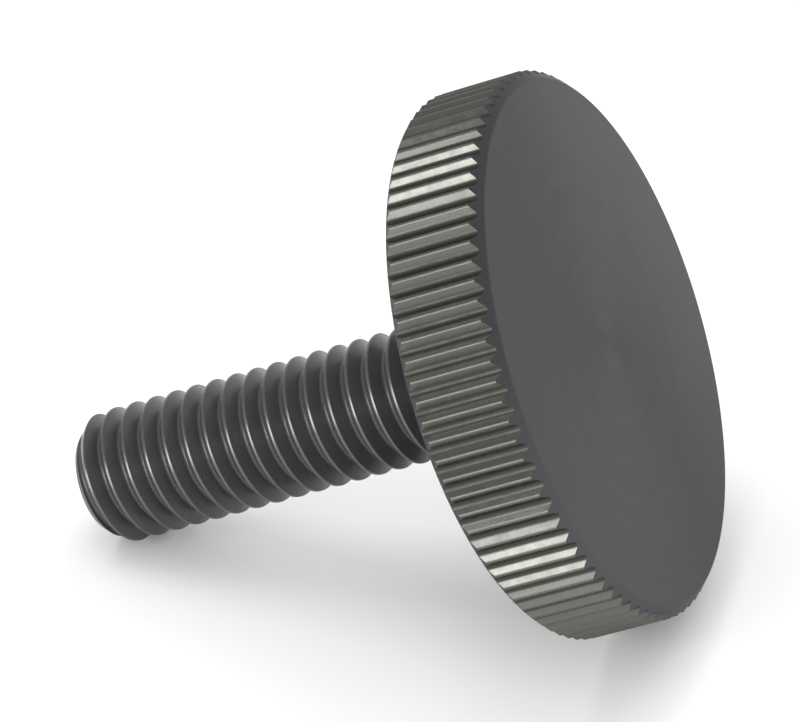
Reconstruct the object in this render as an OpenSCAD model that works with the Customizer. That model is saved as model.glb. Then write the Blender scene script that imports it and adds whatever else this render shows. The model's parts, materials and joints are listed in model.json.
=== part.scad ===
// Flat knurled thumb screw: a thin round head with straight knurling on its rim and a fully threaded shank.
// The screw is turned and threaded from one bar, and lies on its side as it comes to rest:
// on the lower edge of its head and the first turn of its thread, with the origin on the floor below its middle.

/* [Thread] */
// Outside diameter of the thread, as cut
thread_d = 5.9; // [4.8:0.1:7.8]
// Advance of the thread in one turn
pitch = 1; // [0.8:0.05:1.25]
// Length of the shank from the seat of the head to the tip
shank_l = 20.3; // [12:0.1:30]
// Height of the bevel at the tip
tip_bevel_h = 0.8; // [0.4:0.1:1.2]
// Width of the bevel at the tip, measured along the radius
tip_bevel_w = 0.7; // [0.3:0.05:1]
// Turn of the thread about the shank, from where a groove meets the tip on the floor side
thread_turn = 115; // [0:5:355]

/* [Head] */
// Diameter over the crests of the knurl
head_d = 24; // [18:0.5:32]
// Thickness of the head
head_t = 4.5; // [3:0.1:7]
// Bevel between the knurl and the outer face
face_bevel = 0.5; // [0.2:0.05:0.8]
// Bevel between the knurl and the seat
seat_bevel = 0.35; // [0.2:0.05:0.8]

/* [Knurl] */
// Number of teeth round the rim
knurl_teeth = 88; // [60:1:120]
// Depth of the grooves between the teeth
knurl_depth = 0.28; // [0.1:0.02:0.5]
// Share of each tooth that stays flat at its crest
knurl_crest = 0.3; // [0.1:0.05:0.5]

/* [Hidden] */

// Proportions of a metric thread, as shares of its pitch
THREAD_DEPTH = 0.6134;
CREST_FLAT = 0.125;
FLANK_SLOPE = tan(30);

// Straight steps in one turn of the thread
TURN_STEPS = 24;
// How far the thread cutter stands outside the bar, as a share of the pitch
CUTTER_PROUD = 0.09;
// How far the head's blank stands outside the crests of the knurl
BLANK_PROUD = 0.5;
// Overlap of the shank into the head
ROOT_IN_HEAD = 1;
// Turns at the tip that could touch the floor first
FLOOR_TURNS = 4;

head_r = head_d / 2;
thread_r = thread_d / 2;
thread_depth = THREAD_DEPTH * pitch;
root_r = thread_r - thread_depth;
cutter_r = thread_r + CUTTER_PROUD * pitch;
groove_half = (1 - CREST_FLAT) * pitch / 2;
groove_half_in = groove_half - thread_depth * FLANK_SLOPE;
groove_half_out = groove_half + CUTTER_PROUD * pitch * FLANK_SLOPE;
tip_r = thread_r - tip_bevel_w;
seat_edge_r = head_r - seat_bevel;
face_edge_r = head_r - face_bevel;

// The cutter starts beyond the tip and ends where its groove meets the seat
cut_start = -shank_l - pitch * (1 + thread_turn / 360);
cut_turns = (-groove_half_out - cut_start) / pitch;
cut_rings = floor(cut_turns * TURN_STEPS);

// Crest edges of the first turns on the side that faces the floor, as distances from the tip
floor_crests = [
    for (turn = [0:FLOOR_TURNS - 1], edge = [-1, 1])
        max(0, turn - thread_turn / 360 + (1 + edge * CREST_FLAT) / 2) * pitch
];
// Slope of the axis when the lowest crest and the head's lower edge both touch the floor
lean = atan(min([
    for (from_tip = floor_crests)
        (head_r - bar_radius(from_tip)) / (shank_l + seat_bevel - from_tip)
]));
// Height of the seat's centre above the floor
seat_centre_z = head_r * cos(lean) - seat_bevel * sin(lean);
// Middle of the screw's length along the floor
floor_low_x = -shank_l * cos(lean) - tip_r * sin(lean);
floor_high_x = head_t * cos(lean) + face_edge_r * sin(lean);
floor_mid_x = (floor_low_x + floor_high_x) / 2;

// Radius of the bar at a distance from the tip
function bar_radius(from_tip) =
    min(thread_r, tip_r + from_tip * tip_bevel_w / tip_bevel_h);

// Bar of the shank, with the bevel at its tip, along Z below the seat
module shank_bar() {
    rotate_extrude($fn = 96)
        polygon([
            [0, -shank_l],
            [tip_r, -shank_l],
            [thread_r, -shank_l + tip_bevel_h],
            [thread_r, ROOT_IN_HEAD],
            [0, ROOT_IN_HEAD]
        ]);
}

// Section of the thread groove as points of radius and height, anticlockwise
function groove_section() = [
    [root_r, groove_half_in],
    [root_r, -groove_half_in],
    [cutter_r, -groove_half_out],
    [cutter_r, groove_half_out]
];

// Point of the groove section carried to one step along the helix
function on_helix(p, step) =
    let (turn = step / TURN_STEPS)
    [p.x * cos(360 * turn), p.x * sin(360 * turn), cut_start + pitch * turn + p.y];

// Solid of the groove wound along the shank
module thread_groove() {
    section = groove_section();
    sides = len(section);
    points = [for (step = [0:cut_rings], p = section) on_helix(p, step)];
    walls = [
        for (step = [0:cut_rings - 1], side = [0:sides - 1])
            let (
                a = step * sides + side,
                b = step * sides + (side + 1) % sides
            )
            each [[a, b, b + sides], [a, b + sides, a + sides]]
    ];
    first_end = [for (side = [sides - 1:-1:0]) side];
    last_end = [for (side = [0:sides - 1]) cut_rings * sides + side];
    polyhedron(points, concat(walls, [first_end, last_end]));
}

// Outline of the knurl: flat crests on the head's radius and V grooves between them
function knurl_outline() = [
    for (tooth = [0:knurl_teeth - 1])
        let (
            tooth_angle = 360 / knurl_teeth,
            middle = tooth * tooth_angle,
            half_crest = knurl_crest * tooth_angle / 2
        )
        each [
            head_r * [cos(middle - half_crest), sin(middle - half_crest)],
            head_r * [cos(middle + half_crest), sin(middle + half_crest)],
            (head_r - knurl_depth) * [cos(middle + tooth_angle / 2), sin(middle + tooth_angle / 2)]
        ]
];

// Turned blank of the head, with a bevel at each edge
module head_blank() {
    rotate_extrude($fn = 180)
        polygon([
            [0, 0],
            [seat_edge_r, 0],
            [head_r + BLANK_PROUD, seat_bevel + BLANK_PROUD],
            [head_r + BLANK_PROUD, head_t - face_bevel - BLANK_PROUD],
            [face_edge_r, head_t],
            [0, head_t]
        ]);
}

// Head with its knurl
module head() {
    intersection() {
        head_blank();
        linear_extrude(head_t)
            polygon(knurl_outline());
    }
}

// Leans the screw until its head and tip both touch the floor
module laid_on_floor() {
    translate([-floor_mid_x, 0, seat_centre_z])
        rotate([0, 90 - lean, 0])
            children();
}

module thumb_screw() {
    color([0.25, 0.26, 0.27])
        laid_on_floor()
            union() {
                head();
                difference() {
                    shank_bar();
                    thread_groove();
                }
            }
}

thumb_screw();
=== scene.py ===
"""Looks of the knurled thumb screw: cut thread, knurled rim, turned faces and black finish, with a studio."""

import json
import math

import bpy
from mathutils import Matrix, Vector


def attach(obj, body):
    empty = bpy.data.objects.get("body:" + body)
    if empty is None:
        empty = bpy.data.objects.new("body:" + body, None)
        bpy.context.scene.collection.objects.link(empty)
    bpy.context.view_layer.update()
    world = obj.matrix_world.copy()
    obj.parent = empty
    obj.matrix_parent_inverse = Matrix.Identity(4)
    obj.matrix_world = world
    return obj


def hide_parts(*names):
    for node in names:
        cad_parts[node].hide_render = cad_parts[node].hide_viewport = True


bl_info = {
    "name": "Knurled Thumb Screw",
    "version": (1, 0, 0),
    "blender": (4, 5, 0),
    "location": "3D View > Sidebar > Thumb Screw",
    "description": "Models a flat knurled thumb screw with its cut thread and black finish",
    "category": "Object",
}

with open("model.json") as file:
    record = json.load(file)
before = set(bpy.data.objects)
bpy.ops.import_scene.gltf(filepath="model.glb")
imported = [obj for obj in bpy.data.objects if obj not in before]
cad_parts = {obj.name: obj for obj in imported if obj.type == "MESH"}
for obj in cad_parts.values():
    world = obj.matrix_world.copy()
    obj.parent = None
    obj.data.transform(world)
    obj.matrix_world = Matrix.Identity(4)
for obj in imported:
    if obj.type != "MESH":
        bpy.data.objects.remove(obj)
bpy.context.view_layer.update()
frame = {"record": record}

NODE = "thumb_screw"
BODY = "root"
MM = 0.001

# Proportions of a metric thread, as shares of its pitch
THREAD_DEPTH = 0.6134
CREST_FLAT = 0.125
ROOT_RADIUS = 0.1443
FLANK_ANGLE = math.radians(30)

# Straight steps in the rounding of a knurl tooth
ROUND_STEPS = 4
# Points in the rounding of an edge, and in half of the thread's root
EDGE_POINTS = 4
ROOT_POINTS = 5
# Turns of thread wound beyond the shank, to be cut away
SPARE_TURNS = 3
# How far the knurled bar is drawn out past both faces of the head
BAR_REACH = 0.3 * MM
# How far the head's blank stands outside the crests of the knurl
BLANK_PROUD = 0.5 * MM
# Overlap of the shank into the head
INTO_HEAD = 0.6 * MM
# Vertices closer than this are one
MERGE_GAP = 0.0005 * MM
# Angle above which an edge stays crisp
CRISP_ANGLE = math.radians(28)
# How far a face may lie off its true place and still count as there
FACE_SLACK = 0.01 * MM
# Height above the seat up to which the shank's own faces keep the thread's finish
THREAD_TOP = 0.1 * MM
# A face looks sideways where less than this share of its normal points along the axis
SIDEWAYS_LEAN = 0.5
# How far the floor lies below the screw, so that the two don't share a plane
FLOOR_DROP = 0.02 * MM
FLOOR_SIZE = 4.0


# ---------------------------------------------------------------- sizes and colours


class ScrewThread(bpy.types.PropertyGroup):
    """Sizes of the threaded shank"""

    diameter: bpy.props.FloatProperty(
        name="Diameter", description="Outside diameter of the thread", default=5.9 * MM, unit="LENGTH"
    )
    pitch: bpy.props.FloatProperty(
        name="Pitch", description="Advance of the thread in one turn", default=1.0 * MM, unit="LENGTH"
    )
    length: bpy.props.FloatProperty(
        name="Length", description="Shank from the seat to the tip", default=20.3 * MM, unit="LENGTH"
    )
    tip_bevel_height: bpy.props.FloatProperty(
        name="Tip bevel height", description="Height of the bevel at the tip", default=0.8 * MM, unit="LENGTH"
    )
    tip_bevel_width: bpy.props.FloatProperty(
        name="Tip bevel width", description="Bevel along the radius", default=0.7 * MM, unit="LENGTH"
    )
    turn: bpy.props.FloatProperty(
        name="Turn",
        description="Turn of the thread from where a groove meets the tip on the floor side",
        default=math.radians(115),
        subtype="ANGLE",
    )
    crest_round: bpy.props.FloatProperty(
        name="Crest rounding", description="Radius on the crest's edges", default=0.05 * MM, unit="LENGTH"
    )
    steps: bpy.props.IntProperty(
        name="Steps", description="Straight steps in one turn of the thread", default=72, min=24
    )


class ScrewHead(bpy.types.PropertyGroup):
    """Sizes of the head and its knurl"""

    diameter: bpy.props.FloatProperty(
        name="Diameter", description="Diameter over the knurl's crests", default=24 * MM, unit="LENGTH"
    )
    thickness: bpy.props.FloatProperty(
        name="Thickness", description="Thickness of the head", default=4.5 * MM, unit="LENGTH"
    )
    face_bevel: bpy.props.FloatProperty(
        name="Face bevel", description="Bevel at the outer face", default=0.5 * MM, unit="LENGTH"
    )
    seat_bevel: bpy.props.FloatProperty(
        name="Seat bevel", description="Bevel at the seat", default=0.35 * MM, unit="LENGTH"
    )
    edge_round: bpy.props.FloatProperty(
        name="Edge rounding",
        description="Radius where a face meets its bevel",
        default=0.2 * MM,
        unit="LENGTH",
    )
    teeth: bpy.props.IntProperty(name="Teeth", description="Teeth round the rim", default=88, min=24)
    knurl_depth: bpy.props.FloatProperty(
        name="Knurl depth", description="Depth of the grooves", default=0.28 * MM, unit="LENGTH"
    )
    knurl_slope: bpy.props.FloatProperty(
        name="Knurl slope", description="Slope of a tooth's flanks", default=math.radians(45), subtype="ANGLE"
    )
    crest_share: bpy.props.FloatProperty(
        name="Crest share", description="Crest's share of the two roundings", default=0.33, subtype="FACTOR"
    )
    steps: bpy.props.IntProperty(
        name="Steps", description="Straight steps round the turned blank", default=352, min=64
    )


class ScrewFinish(bpy.types.PropertyGroup):
    """Colours and gloss of the black finish"""

    face_colour: bpy.props.FloatVectorProperty(
        name="Face",
        description="Finish of the turned faces",
        default=(0.086, 0.0885, 0.092),
        subtype="COLOR",
        size=3,
    )
    rim_colour: bpy.props.FloatVectorProperty(
        name="Rim",
        description="Finish of the knurled rim",
        default=(0.123, 0.127, 0.113),
        subtype="COLOR",
        size=3,
    )
    thread_colour: bpy.props.FloatVectorProperty(
        name="Thread",
        description="Finish of the cut thread",
        default=(0.085, 0.086, 0.088),
        subtype="COLOR",
        size=3,
    )


class ScrewStudio(bpy.types.PropertyGroup):
    """Camera, lamps and floor"""

    azimuth: bpy.props.FloatProperty(
        name="Azimuth",
        description="Camera's turn round the screw",
        default=math.radians(13.07),
        subtype="ANGLE",
    )
    elevation: bpy.props.FloatProperty(
        name="Elevation", description="Camera's height angle", default=math.radians(32.16), subtype="ANGLE"
    )
    distance: bpy.props.FloatProperty(
        name="Distance", description="Camera to the aimed point", default=262.3 * MM, unit="LENGTH"
    )
    lens: bpy.props.FloatProperty(
        name="Lens", description="Focal length", default=274.9, unit="CAMERA"
    )
    aim: bpy.props.FloatVectorProperty(
        name="Aim",
        description="Point the camera looks at",
        default=(0.0, 1.06 * MM, 9.65 * MM),
        subtype="XYZ",
        size=3,
    )


# ---------------------------------------------------------------- modelling by hand


def start_clean():
    """Leaves edit mode and deselects everything, so the next operator acts on its own piece alone."""
    if bpy.context.object and bpy.context.object.mode != "OBJECT":
        bpy.ops.object.mode_set(mode="OBJECT")
    bpy.ops.object.select_all(action="DESELECT")


def only(piece):
    """Makes one piece the active and selected one."""
    start_clean()
    piece.select_set(True)
    bpy.context.view_layer.objects.active = piece


def edit_all(piece):
    """Opens a piece in edit mode with all of it selected."""
    only(piece)
    bpy.ops.object.mode_set(mode="EDIT")
    bpy.ops.mesh.select_mode(type="VERT")
    bpy.ops.mesh.select_all(action="SELECT")


def draw_outline(name, points):
    """Draws an open outline through the points: one vertex, extruded from point to point."""
    start_clean()
    points = [Vector(p) for p in points]
    bpy.ops.mesh.primitive_plane_add(size=MM, location=points[0])
    outline = bpy.context.object
    outline.name = outline.data.name = name
    edit_all(outline)
    bpy.ops.mesh.merge(type="CENTER")
    for here, there in zip(points, points[1:]):
        bpy.ops.mesh.extrude_region_move(TRANSFORM_OT_translate={"value": there - here})
    only(outline)
    bpy.ops.object.transform_apply(location=True, rotation=False, scale=False)
    return outline


def wind(outline, turns, climb, steps):
    """Winds an outline round Z: a lathe's turn when it doesn't climb, and a thread when it does."""
    only(outline)
    bpy.ops.object.modifier_add(type="SCREW")
    screw = outline.modifiers[-1]
    screw.axis = "Z"
    screw.angle = math.tau
    screw.iterations = turns
    screw.screw_offset = climb
    screw.steps = steps
    screw.render_steps = steps
    bpy.ops.object.modifier_apply(modifier=screw.name)
    close_up(outline)


def close_up(piece):
    """Merges doubled vertices and points every face outwards."""
    edit_all(piece)
    bpy.ops.mesh.remove_doubles(threshold=MERGE_GAP)
    bpy.ops.mesh.normals_make_consistent(inside=False)
    bpy.ops.object.mode_set(mode="OBJECT")


def cut_flat(piece, height, keep_above):
    """Cuts a piece square to Z at a height, keeps one side and closes the cut."""
    edit_all(piece)
    bpy.ops.mesh.bisect(
        plane_co=(0, 0, height),
        plane_no=(0, 0, 1),
        use_fill=True,
        clear_inner=keep_above,
        clear_outer=not keep_above,
    )
    bpy.ops.object.mode_set(mode="OBJECT")


def combine(piece, other, operation):
    """Joins or intersects a piece with another, which is used up."""
    only(piece)
    bpy.ops.object.modifier_add(type="BOOLEAN")
    boolean = piece.modifiers[-1]
    boolean.operation = operation
    boolean.solver = "EXACT"
    boolean.object = other
    bpy.ops.object.modifier_apply(modifier=boolean.name)
    only(other)
    bpy.ops.object.delete()
    close_up(piece)


def corner_arc(centre, radius, start, end, count):
    """Points of an arc in the X-Z plane, between two angles from +X towards +Z."""
    angles = [start + (end - start) * i / (count - 1) for i in range(count)]
    return [(centre[0] + radius * math.cos(a), 0, centre[1] + radius * math.sin(a)) for a in angles]


# ---------------------------------------------------------------- the shank


def thread_profile(thread):
    """One pitch of the thread from crest to crest: flat crest, rounded edge, flank, round root, and back."""
    pitch = thread.pitch
    crest_r = thread.diameter / 2
    root_r = crest_r - THREAD_DEPTH * pitch
    round_r = thread.crest_round
    root_round = ROOT_RADIUS * pitch
    half_flat = CREST_FLAT * pitch / 2
    # The rounding touches the crest short of the corner by the tangent's length
    turn = math.pi / 2 - FLANK_ANGLE
    back = round_r * math.tan(turn / 2)
    edge = corner_arc((crest_r - round_r, half_flat - back), round_r, 0, turn, EDGE_POINTS)
    root_centre = (root_r + root_round, pitch / 2)
    low_root = corner_arc(root_centre, root_round, math.pi + turn, math.pi, ROOT_POINTS)
    rising = [(crest_r, 0, 0), *edge, *low_root]
    falling = [(x, 0, pitch - z) for x, _, z in reversed(rising[:-1])]
    return rising + falling


def tip_cone(thread, top):
    """Turned bar that the thread is cut on: its bevel runs out past the crests, so only the bevel cuts."""
    tip_r = thread.diameter / 2 - thread.tip_bevel_width
    run_out = 2 * thread.tip_bevel_height
    slope = thread.tip_bevel_width / thread.tip_bevel_height
    wide_r = tip_r + run_out * slope
    tip_z = -thread.length
    points = [(0, 0, tip_z), (tip_r, 0, tip_z), (wide_r, 0, tip_z + run_out), (wide_r, 0, top), (0, 0, top)]
    bar = draw_outline("tip_cone", points)
    wind(bar, 1, 0, thread.steps * 2)
    return bar


def threaded_shank(thread):
    """The shank: a thread wound along the bar, cut square above the seat and bevelled at the tip."""
    turns = math.ceil((thread.length + INTO_HEAD) / thread.pitch) + SPARE_TURNS
    # A groove's middle lies on the floor side at the tip, turned about the axis by the thread's own turn
    start_z = -thread.length - 1.5 * thread.pitch - thread.pitch * thread.turn / math.tau
    profile = [(x, 0, z + start_z) for x, _, z in thread_profile(thread)]
    shank = draw_outline("shank", profile)
    wind(shank, turns, thread.pitch, thread.steps)
    # The first cut stays a little beyond the tip, which the cone then faces and bevels
    past_tip = thread.pitch * 0.1
    cut_flat(shank, -thread.length - past_tip, True)
    cut_flat(shank, INTO_HEAD, False)
    close_up(shank)
    combine(shank, tip_cone(thread, INTO_HEAD * 2), "INTERSECT")
    return shank


# ---------------------------------------------------------------- the head


def turned_blank(head):
    """The head before knurling: two flat faces, each with a rounded edge and a bevel that runs out wide."""
    head_r = head.diameter / 2
    round_r = head.edge_round
    eighth = math.pi / 4
    back = round_r * math.tan(eighth / 2)
    seat_r = head_r - head.seat_bevel - back
    face_r = head_r - head.face_bevel - back
    seat_edge = corner_arc((seat_r, round_r), round_r, -2 * eighth, -eighth, EDGE_POINTS)
    face_edge = corner_arc((face_r, head.thickness - round_r), round_r, eighth, 2 * eighth, EDGE_POINTS)
    points = [
        (0, 0, 0),
        *seat_edge,
        (head_r + BLANK_PROUD, 0, head.seat_bevel + BLANK_PROUD),
        (head_r + BLANK_PROUD, 0, head.thickness - head.face_bevel - BLANK_PROUD),
        *face_edge,
        (0, 0, head.thickness),
    ]
    blank = draw_outline("blank", points)
    wind(blank, 1, 0, head.steps)
    return blank


def tooth_outline(head):
    """One tooth of the knurl, groove to groove: round root, straight flank, round crest, flank and root."""
    crest_r = head.diameter / 2
    half_pitch = math.pi * crest_r / head.teeth
    slope = head.knurl_slope
    # The roundings that leave the flanks just as deep as the knurl
    round_sum = (half_pitch * math.tan(slope) - head.knurl_depth) / (1 / math.cos(slope) - 1)
    crest_round = round_sum * head.crest_share
    root_round = round_sum - crest_round
    turns = [slope * i / ROUND_STEPS for i in range(ROUND_STEPS + 1)]
    crest = [(crest_round * math.sin(a), crest_round * (1 - math.cos(a))) for a in turns]
    root = [
        (half_pitch - root_round * math.sin(a), head.knurl_depth - root_round * (1 - math.cos(a)))
        for a in reversed(turns)
    ]
    rising = [(across / crest_r, crest_r - down) for across, down in reversed(crest + root)]
    points = [(r * math.cos(a), -r * math.sin(a), 0) for a, r in rising]
    return points + [(x, -y, z) for x, y, z in reversed(points[:-1])]


def knurled_bar(head):
    """The knurled bar: one tooth copied round the axis, filled, and drawn out past both faces of the head."""
    bar = draw_outline("knurl", tooth_outline(head))
    edit_all(bar)
    bpy.ops.mesh.spin(steps=head.teeth, dupli=True, angle=math.tau, center=(0, 0, 0), axis=(0, 0, 1))
    bpy.ops.mesh.select_all(action="SELECT")
    bpy.ops.mesh.remove_doubles(threshold=MERGE_GAP)
    bpy.ops.transform.translate(value=(0, 0, -BAR_REACH))
    bpy.ops.mesh.edge_face_add()
    length = head.thickness + 2 * BAR_REACH
    bpy.ops.mesh.extrude_region_move(TRANSFORM_OT_translate={"value": (0, 0, length)})
    bpy.ops.object.mode_set(mode="OBJECT")
    close_up(bar)
    return bar


def knurled_head(head):
    """The head: the knurled bar faced and bevelled to the turned blank's form."""
    bar = knurled_bar(head)
    combine(bar, turned_blank(head), "INTERSECT")
    return bar


# ---------------------------------------------------------------- the finish


class Nodes:
    """Short hand for building a material's nodes."""

    def __init__(self, material):
        material.use_nodes = True
        self.tree = material.node_tree
        self.tree.nodes.clear()

    def add(self, kind, inputs=None, **settings):
        """Adds a node, sets its options, and links or sets its inputs."""
        node = self.tree.nodes.new(kind)
        for name, value in settings.items():
            setattr(node, name, value)
        for name, value in (inputs or {}).items():
            socket = node.inputs[name]
            if isinstance(value, bpy.types.NodeSocket):
                self.tree.links.new(value, socket)
            else:
                socket.default_value = value
        return node

    def math(self, operation, first, second):
        """One sum of two values."""
        return self.add("ShaderNodeMath", {0: first, 1: second}, operation=operation).outputs[0]

    def spread(self, value, low, high, to_low=0.0, to_high=1.0):
        """Maps a value from one range to another, held at both ends."""
        limits = {"Value": value, "From Min": low, "From Max": high, "To Min": to_low, "To Max": to_high}
        return self.add("ShaderNodeMapRange", limits).outputs["Result"]

    def noise(self, where, scale, detail, roughness=0.5):
        """Soft noise between 0 and 1."""
        inputs = {"Vector": where, "Scale": scale, "Detail": detail, "Roughness": roughness}
        return self.add("ShaderNodeTexNoise", inputs).outputs["Fac"]

    def blend(self, share, first, second):
        """Mixes two colours."""
        node = self.add("ShaderNodeMix", data_type="RGBA")
        for socket, value in ((node.inputs[0], share), (node.inputs[6], first), (node.inputs[7], second)):
            if isinstance(value, bpy.types.NodeSocket):
                self.tree.links.new(value, socket)
            else:
                socket.default_value = value
        return node.outputs[2]


def tinted(colour, factor):
    """A colour made lighter or darker, with full alpha."""
    return (*(min(1.0, c * factor) for c in colour), 1.0)


def screw_space(nodes, placement):
    """Position on the screw in its own axes: Z along the axis from the seat, in metres."""
    back = placement.inverted()
    where = nodes.add("ShaderNodeTexCoord").outputs["Object"]
    inputs = {"Vector": where, "Location": back.to_translation(), "Rotation": back.to_euler("XYZ")}
    return nodes.add("ShaderNodeMapping", inputs, vector_type="POINT").outputs[0]


def from_axis(nodes, where):
    """Way outwards from the axis in the screw's own axes, and how far out."""
    outwards = nodes.add("ShaderNodeVectorMath", {0: where, 1: (1, 1, 0)}, operation="MULTIPLY").outputs[0]
    radius = nodes.add("ShaderNodeVectorMath", {0: outwards}, operation="LENGTH").outputs["Value"]
    return outwards, radius


def finish_output(nodes, colour, roughness, normal, metallic):
    """Ends a material in the shader of the oxide finish."""
    shader = nodes.add(
        "ShaderNodeBsdfPrincipled",
        {
            "Base Color": colour,
            "Metallic": metallic,
            "Roughness": roughness,
            "Normal": normal,
        },
    )
    nodes.add("ShaderNodeOutputMaterial", {"Surface": shader.outputs[0]})
    return shader


def turned_finish(finish, placement, head):
    """Black finish on the turned faces: ringed by the tool and cloudy with oxide, with a painted sheen
    towards one edge, and even on the bevels.
    """
    material = bpy.data.materials.new("turned_face")
    nodes = Nodes(material)
    where = screw_space(nodes, placement)
    outwards, radius = from_axis(nodes, where)
    bevel_r = head.diameter / 2 - head.face_bevel
    along_radius = nodes.add("ShaderNodeCombineXYZ", {"X": radius}).outputs[0]
    rings = nodes.noise(along_radius, scale=1600.0, detail=4.0, roughness=0.6)
    clouds = nodes.noise(where, scale=260.0, detail=4.0, roughness=0.55)
    broad = nodes.noise(where, scale=70.0, detail=1.0)
    clouded = nodes.math("ADD", nodes.math("MULTIPLY", clouds, 0.35), nodes.math("MULTIPLY", broad, 0.25))
    tone = nodes.math("ADD", clouded, nodes.math("MULTIPLY", rings, 0.4))
    share = nodes.spread(tone, 0.35, 0.65)
    colour = nodes.blend(share, tinted(finish.face_colour, 0.82), tinted(finish.face_colour, 1.12))
    # Painted sheen: the face is painted lighter towards one edge
    across = nodes.add("ShaderNodeSeparateXYZ", {"Vector": where}).outputs["Y"]
    painted_sheen = nodes.spread(across, 0.1 * bevel_r, bevel_r, to_high=0.75)
    colour = nodes.blend(painted_sheen, colour, tinted(finish.face_colour, 1.5))
    # The tone of the face gives way to the bevel's across the rounded edge between them
    half_edge = 0.1 * MM
    bevel = nodes.spread(radius, bevel_r - half_edge, bevel_r + half_edge)
    colour = nodes.blend(bevel, colour, tinted(finish.face_colour, 0.95))
    roughness = nodes.spread(clouds, 0.3, 0.7, 0.38, 0.46)
    bump = nodes.add("ShaderNodeBump", {"Height": rings, "Strength": 0.1, "Distance": 0.004 * MM})
    shader = finish_output(nodes, colour, roughness, bump.outputs[0], metallic=0.85)
    # The tool's rings run round the axis, so they scatter light along the way outwards
    turned = nodes.add("ShaderNodeVectorRotate", {"Vector": outwards}, rotation_type="EULER_XYZ")
    turned.inputs["Rotation"].default_value = placement.to_euler()
    in_world = {"vector_type": "VECTOR", "convert_from": "OBJECT", "convert_to": "WORLD"}
    tangent = nodes.add("ShaderNodeVectorTransform", {"Vector": turned.outputs[0]}, **in_world).outputs[0]
    nodes.tree.links.new(tangent, shader.inputs["Tangent"])
    shader.inputs["Anisotropic"].default_value = 0.4
    # The oxide film soaks up light that grazes it
    shader.inputs["Specular Tint"].default_value = (0.55, 0.55, 0.55, 1.0)
    return material


def knurl_finish(finish, placement, head):
    """Black finish on the rim: a little lighter on the rubbed crests, duller in the roots, and with painted
    shade darkening the roots.
    """
    material = bpy.data.materials.new("knurled_rim")
    nodes = Nodes(material)
    where = screw_space(nodes, placement)
    _, radius = from_axis(nodes, where)
    crest_r = head.diameter / 2
    crest = nodes.spread(radius, crest_r - head.knurl_depth, crest_r)
    grain = nodes.noise(where, scale=1800.0, detail=3.0, roughness=0.6)
    worn = nodes.math("MULTIPLY", crest, nodes.spread(grain, 0.3, 0.7, 0.7, 1.0))
    colour = nodes.blend(worn, tinted(finish.rim_colour, 0.95), tinted(finish.rim_colour, 1.1))
    # Painted shade darkens the roots, which are also made duller, and the crests are scuffed
    painted_shade_and_dull_roots = nodes.spread(crest, 0.1, 0.3, 1.0, 0.0)
    colour = nodes.blend(painted_shade_and_dull_roots, colour, tinted(finish.rim_colour, 0.5))
    scuffed = nodes.spread(crest, 0.8, 0.95, to_high=0.16)
    roughness = nodes.math("ADD", nodes.spread(grain, 0.3, 0.7, 0.22, 0.32), scuffed)
    roughness = nodes.math("ADD", roughness, nodes.math("MULTIPLY", painted_shade_and_dull_roots, 0.2))
    bump = nodes.add("ShaderNodeBump", {"Height": grain, "Strength": 0.15, "Distance": 0.01 * MM})
    finish_output(nodes, colour, roughness, bump.outputs[0], metallic=0.9)
    return material


def thread_finish(finish, placement, thread):
    """Black finish on the thread: darker in the roots by painted shade, with bright lines where the crests
    were rubbed.
    """
    material = bpy.data.materials.new("cut_thread")
    nodes = Nodes(material)
    where = screw_space(nodes, placement)
    _, radius = from_axis(nodes, where)
    crest_r = thread.diameter / 2
    root_r = crest_r - THREAD_DEPTH * thread.pitch
    crest = nodes.spread(radius, root_r, crest_r)
    grain = nodes.noise(where, scale=900.0, detail=2.0)
    worn = nodes.spread(crest, 0.965, 0.99)
    # Painted shade: the colour darkens from the crests down into the roots
    colour = nodes.blend(crest, tinted(finish.thread_colour, 0.9), tinted(finish.thread_colour, 1.05))
    blotches = nodes.spread(grain, 0.4, 0.75, to_high=0.35)
    colour = nodes.blend(blotches, colour, tinted(finish.thread_colour, 0.6))
    colour = nodes.blend(worn, colour, tinted(finish.thread_colour, 1.6))
    metallic = nodes.spread(worn, 0.0, 1.0, 0.35, 0.9)
    roughness = nodes.spread(grain, 0.3, 0.7, 0.26, 0.36)
    bump = nodes.add("ShaderNodeBump", {"Height": grain, "Strength": 0.05, "Distance": 0.005 * MM})
    finish_output(nodes, colour, roughness, bump.outputs[0], metallic)
    return material


def dress(piece, materials, thread, head):
    """Gives each face the finish of its place: thread, rim or turned face."""
    for material in materials:
        piece.data.materials.append(material)
    turned, rim, cut = range(3)
    rim_r = head.diameter / 2 - head.knurl_depth - max(head.face_bevel, head.seat_bevel)
    shank_r = thread.diameter / 2 + FACE_SLACK
    for face in piece.data.polygons:
        reach = face.center.xy.length
        below_seat = face.center.z < -FACE_SLACK
        on_shank = reach < shank_r and face.center.z < THREAD_TOP
        sideways = abs(face.normal.z) < SIDEWAYS_LEAN
        if below_seat or on_shank:
            face.material_index = cut
        elif sideways and reach > rim_r:
            face.material_index = rim
        else:
            face.material_index = turned


def flatten_shading(piece):
    """Keeps flats flat: each edge takes its shading from the larger face beside it."""
    only(piece)
    bpy.ops.object.modifier_add(type="WEIGHTED_NORMAL")
    weighted = piece.modifiers[-1]
    weighted.keep_sharp = True
    bpy.ops.object.modifier_apply(modifier=weighted.name)


# ---------------------------------------------------------------- placing


def screw_placement():
    """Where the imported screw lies: Z along its axis from the seat, and X towards the floor."""
    mounts = {m["name"]: m for m in frame["record"]["mounts"]}
    axis = -Vector(mounts["thread"]["axis"]).normalized()
    middle = Vector(mounts["thread"]["pos_m"])
    seat = middle + axis * (Vector(mounts["seat"]["pos_m"]) - middle).dot(axis)
    down = Vector((0, 0, -1))
    floor_side = (down - axis * down.dot(axis)).normalized()
    across = axis.cross(floor_side)
    turn = Matrix((floor_side, across, axis)).transposed().to_4x4()
    return Matrix.Translation(seat) @ turn


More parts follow.
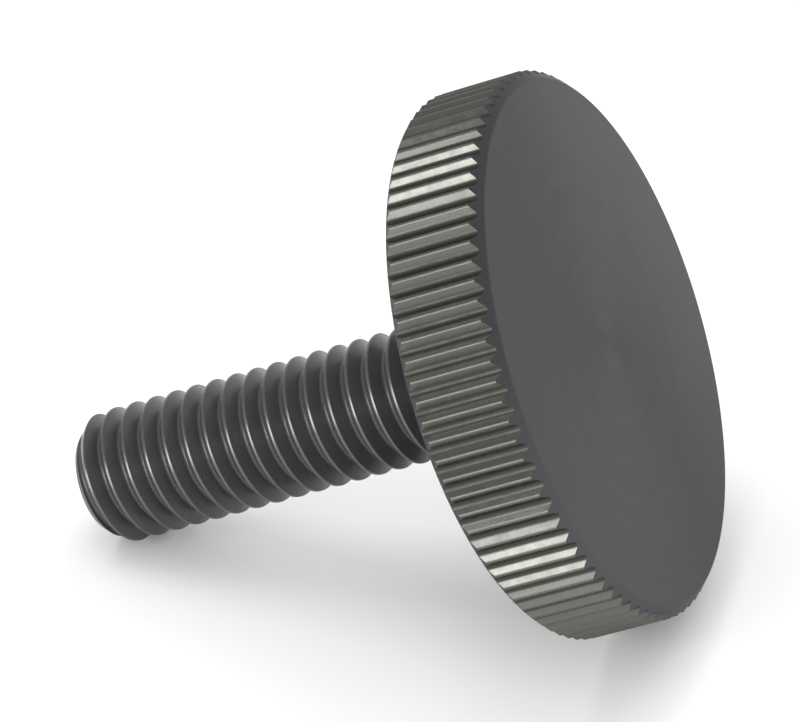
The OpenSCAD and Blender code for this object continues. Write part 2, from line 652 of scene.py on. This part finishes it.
def place(piece, placement):
    """Puts a finished piece where it belongs and leaves its object at the origin."""
    only(piece)
    piece.matrix_world = placement
    bpy.ops.object.transform_apply(location=True, rotation=True, scale=True)


# ---------------------------------------------------------------- operators


class THUMBSCREW_OT_model(bpy.types.Operator):
    """Models the screw: its threaded shank and knurled head in one piece, with the black finish"""

    bl_idname = "thumbscrew.model"
    bl_label = "Model Thumb Screw"

    def execute(self, context):
        thread = context.scene.screw_thread
        head = context.scene.screw_head
        finish = context.scene.screw_finish
        screw = threaded_shank(thread)
        combine(screw, knurled_head(head), "UNION")
        screw.name = screw.data.name = "finished_screw"
        placement = screw_placement()
        materials = [
            turned_finish(finish, placement, head),
            knurl_finish(finish, placement, head),
            thread_finish(finish, placement, thread),
        ]
        dress(screw, materials, thread, head)
        only(screw)
        bpy.ops.object.shade_smooth_by_angle(angle=CRISP_ANGLE)
        flatten_shading(screw)
        place(screw, placement)
        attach(screw, BODY)
        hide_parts(NODE)
        return {"FINISHED"}


def white_floor():
    """Plain white floor that stays white to the eye and keeps the screw's shadow."""
    start_clean()
    bpy.ops.mesh.primitive_plane_add(size=FLOOR_SIZE, location=(0, 0, -FLOOR_DROP))
    floor = bpy.context.object
    floor.name = "floor"
    material = bpy.data.materials.new("floor_white")
    nodes = Nodes(material)
    path = nodes.add("ShaderNodeLightPath")
    seen = nodes.math("MAXIMUM", path.outputs["Is Camera Ray"], path.outputs["Is Glossy Ray"])
    diffuse = nodes.add("ShaderNodeBsdfDiffuse", {"Color": (0.88, 0.88, 0.88, 1.0)})
    # A faint glow, for the eye and the metal alone, brings the floor up to white
    glow = nodes.add("ShaderNodeEmission", {"Strength": nodes.math("MULTIPLY", seen, 0.05)})
    both = nodes.add("ShaderNodeAddShader", {0: diffuse.outputs[0], 1: glow.outputs[0]})
    nodes.add("ShaderNodeOutputMaterial", {"Surface": both.outputs[0]})
    floor.data.materials.append(material)


def soft_lamp(name, target, direction, distance, width, height, along, radiance, mirrored):
    """Rectangular lamp that faces a point, mirrored by the metal or not; its width runs along a direction."""
    start_clean()
    direction = Vector(direction).normalized()
    bpy.ops.object.light_add(type="AREA", location=Vector(target) + direction * distance)
    lamp = bpy.context.object
    lamp.name = name
    along = Vector(along)
    across = (along - direction * along.dot(direction)).normalized()
    turn = Matrix((across, direction.cross(across), direction)).transposed().to_4x4()
    lamp.matrix_world = Matrix.Translation(lamp.location) @ turn
    lamp.data.shape = "RECTANGLE"
    lamp.data.size = width
    lamp.data.size_y = height
    lamp.data.energy = radiance * math.pi * width * height
    lamp.visible_glossy = mirrored


def studio_camera(studio):
    """Camera at the studio's angle."""
    start_clean()
    turn, rise = studio.azimuth, studio.elevation
    back = Vector((math.sin(turn) * math.cos(rise), -math.cos(turn) * math.cos(rise), math.sin(rise)))
    bpy.ops.object.camera_add(location=Vector(studio.aim) + back * studio.distance)
    camera = bpy.context.object
    camera.rotation_mode = "QUATERNION"
    camera.rotation_quaternion = (-back).to_track_quat("-Z", "Y")
    camera.data.lens = studio.lens
    camera.data.sensor_width = 36.0
    camera.data.clip_start = 0.01
    bpy.context.scene.camera = camera


def pale_world(strength, ceiling):
    """Even pale light all round; the eye and the metal see a white room with a darker ceiling."""
    world = bpy.data.worlds.new("studio")
    bpy.context.scene.world = world
    nodes = Nodes(world)
    path = nodes.add("ShaderNodeLightPath")
    direction = nodes.add("ShaderNodeTexCoord").outputs["Generated"]
    way = nodes.add("ShaderNodeSeparateXYZ", {"Vector": direction})
    # The room is white up to the lower height, and has its ceiling's level from the upper height on
    backdrop = nodes.spread(way.outputs["Z"], 0.2, 0.6, 1.0, ceiling)
    seen = nodes.math("MAXIMUM", path.outputs["Is Camera Ray"], path.outputs["Is Glossy Ray"])
    level = nodes.spread(seen, 0.0, 1.0, strength, backdrop)
    glow = nodes.add("ShaderNodeBackground", {"Color": (1, 1, 1, 1), "Strength": level})
    nodes.add("ShaderNodeOutputWorld", {"Surface": glow.outputs[0]})


class THUMBSCREW_OT_stage(bpy.types.Operator):
    """Sets the stage: white floor, soft lamps, pale surroundings and the camera"""

    bl_idname = "thumbscrew.stage"
    bl_label = "Set the Stage"

    def execute(self, context):
        studio = context.scene.screw_studio
        white_floor()
        head_middle = (9 * MM, 0, 11 * MM)
        soft_lamp(
            "key_lamp",
            target=head_middle,
            direction=(-0.56, -0.77, 0.27),
            distance=0.45,
            width=0.235,
            height=0.18,
            along=(-0.18, 0.265, 0.4),
            radiance=7.0,
            mirrored=True,
        )
        fill = {"distance": 0.6, "width": 0.32, "height": 0.32, "along": (1, 0, 0), "radiance": 2.4}
        soft_lamp("top_lamp", (0, 0, 0), (-0.37, 0.21, 0.91), mirrored=False, **fill)
        soft_lamp("back_lamp", (0, 0, 0), (0.19, 0.72, 0.67), mirrored=False, **fill)
        pale_world(strength=0.95, ceiling=0.55)
        studio_camera(studio)
        context.scene.view_settings.view_transform = "Standard"
        return {"FINISHED"}


class THUMBSCREW_PT_panel(bpy.types.Panel):
    """Sidebar panel with the steps and sizes of the screw"""

    bl_idname = "THUMBSCREW_PT_panel"
    bl_label = "Thumb Screw"
    bl_space_type = "VIEW_3D"
    bl_region_type = "UI"
    bl_category = "Thumb Screw"

    def draw(self, context):
        layout = self.layout
        for step in (THUMBSCREW_OT_model, THUMBSCREW_OT_stage):
            layout.operator(step.bl_idname)
        for group in (context.scene.screw_thread, context.scene.screw_head, context.scene.screw_finish):
            box = layout.box()
            for name in group.__annotations__:
                box.prop(group, name)


CLASSES = (
    ScrewThread,
    ScrewHead,
    ScrewFinish,
    ScrewStudio,
    THUMBSCREW_OT_model,
    THUMBSCREW_OT_stage,
    THUMBSCREW_PT_panel,
)
GROUPS = {
    "screw_thread": ScrewThread,
    "screw_head": ScrewHead,
    "screw_finish": ScrewFinish,
    "screw_studio": ScrewStudio,
}


def register():
    for cls in CLASSES:
        bpy.utils.register_class(cls)
    for name, group in GROUPS.items():
        setattr(bpy.types.Scene, name, bpy.props.PointerProperty(type=group))


def unregister():
    for name in GROUPS:
        delattr(bpy.types.Scene, name)
    for cls in reversed(CLASSES):
        bpy.utils.unregister_class(cls)


def main():
    register()
    bpy.ops.thumbscrew.model()
    bpy.ops.thumbscrew.stage()


if __name__ == "__main__":
    main()
